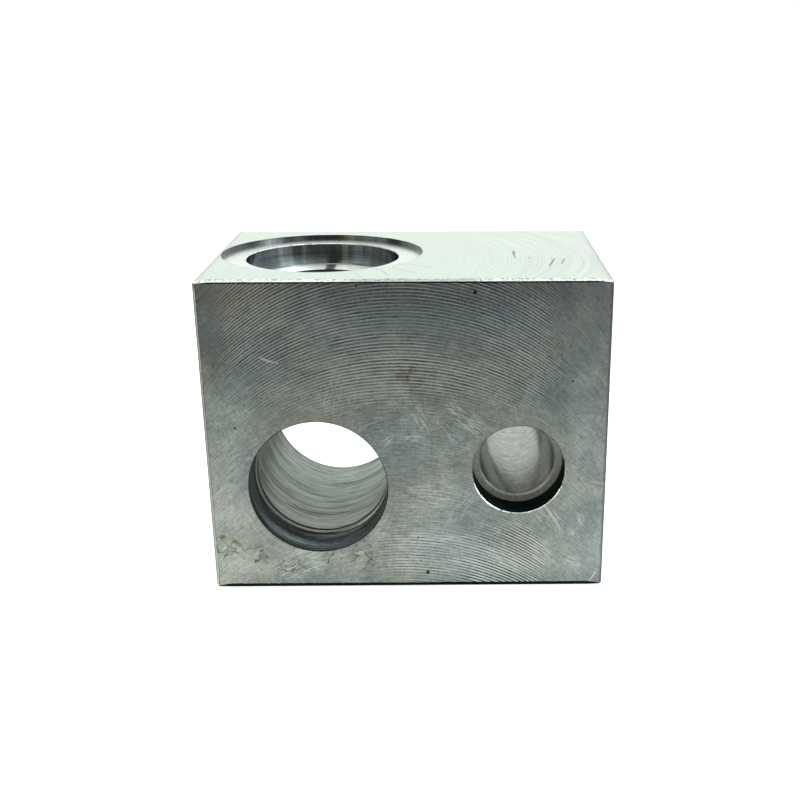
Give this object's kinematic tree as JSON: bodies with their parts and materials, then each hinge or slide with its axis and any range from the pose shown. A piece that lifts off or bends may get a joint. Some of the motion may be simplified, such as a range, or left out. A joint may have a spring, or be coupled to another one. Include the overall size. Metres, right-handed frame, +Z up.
{
  "type": "hydraulic monoblock valve body",
  "caption": "Machined steel monoblock valve body with a spotfaced top cavity, parallel through-bores and plugged cross-drillings.",
  "frame": {"origin": "centre of the base", "axes": "+X along the width, towards the small bore; -Y out of the front face; +Z up, out of the face with the spotfaced cavity"},
  "size_m": [0.1, 0.07, 0.08],
  "materials": {
    "body_steel": "bare face-milled steel",
    "plug_shell_steel": "turned steel, dull",
    "plug_ball_steel": "ground bearing ball"
  },
  "bodies": {
    "root": {"valve_body": "body_steel", "front_gallery_plug_shell": "plug_shell_steel", "front_gallery_plug_ball": "plug_ball_steel", "rear_gallery_plug_shell": "plug_shell_steel", "rear_gallery_plug_ball": "plug_ball_steel"}
  },
  "joints": []
}
